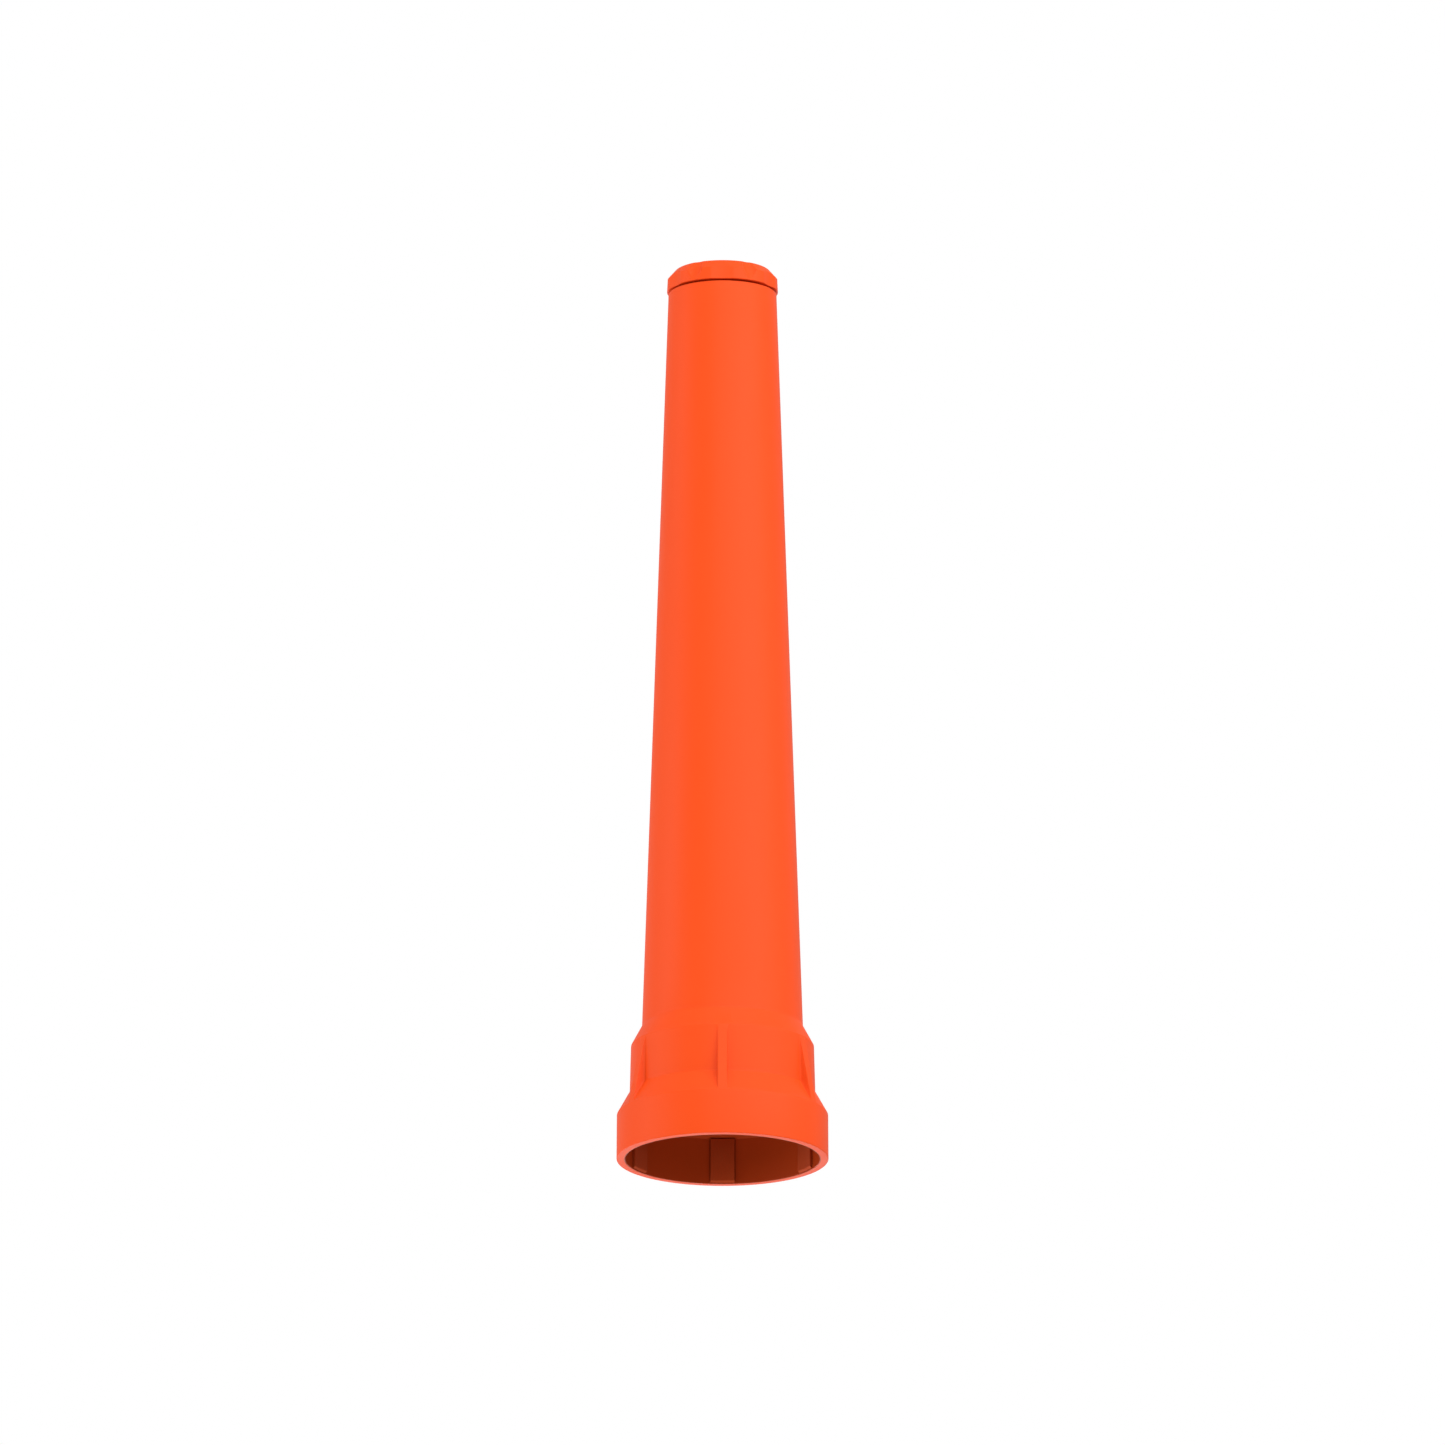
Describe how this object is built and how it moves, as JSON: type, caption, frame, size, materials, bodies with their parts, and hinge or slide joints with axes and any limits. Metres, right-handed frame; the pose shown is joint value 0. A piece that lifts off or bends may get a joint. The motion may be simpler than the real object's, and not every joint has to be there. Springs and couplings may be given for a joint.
{
  "type": "slip-on torch signalling cone",
  "caption": "Tapered orange wand cone that slips over a torch's head for directing traffic, with ribbed collar, soft socket pads and a sealed screw-in end cap.",
  "frame": {"origin": "on the cone's axis, in the plane of the base rim that it stands on", "axes": "+Z along the axis from the socket to the end cap; -Y towards the first gusset; +X to its right"},
  "size_m": [0.05, 0.05, 0.2173],
  "materials": {
    "body_plastic": "satin moulded polyethylene, bright orange",
    "cap_plastic": "satin moulded polyethylene, bright orange",
    "pad_elastomer": "soft matte elastomer, orange",
    "seal_rubber": "smooth silicone, brick red"
  },
  "bodies": {
    "wand": {"wand_body": "body_plastic", "grip_pad_1": "pad_elastomer", "grip_pad_2": "pad_elastomer", "grip_pad_3": "pad_elastomer", "grip_pad_4": "pad_elastomer", "grip_pad_5": "pad_elastomer", "grip_pad_6": "pad_elastomer"},
    "seal": {"cap_seal": "seal_rubber"},
    "cap": {"end_cap": "cap_plastic"}
  },
  "joints": [
    {"name": "cap_lift", "type": "slide", "parent": "wand", "child": "seal", "axis": [0, 0, 1], "range_m": [0, 0.0075]},
    {"name": "cap_turn", "type": "hinge", "parent": "seal", "child": "cap", "pos_m": [0, 0, 0.2124], "axis": [0, 0, 1], "range_deg": [0, 900]}
  ],
  "couplings": [
    {"joint": "cap_lift", "follows": "cap_turn", "m_per_rad": 0.00047746}
  ]
}
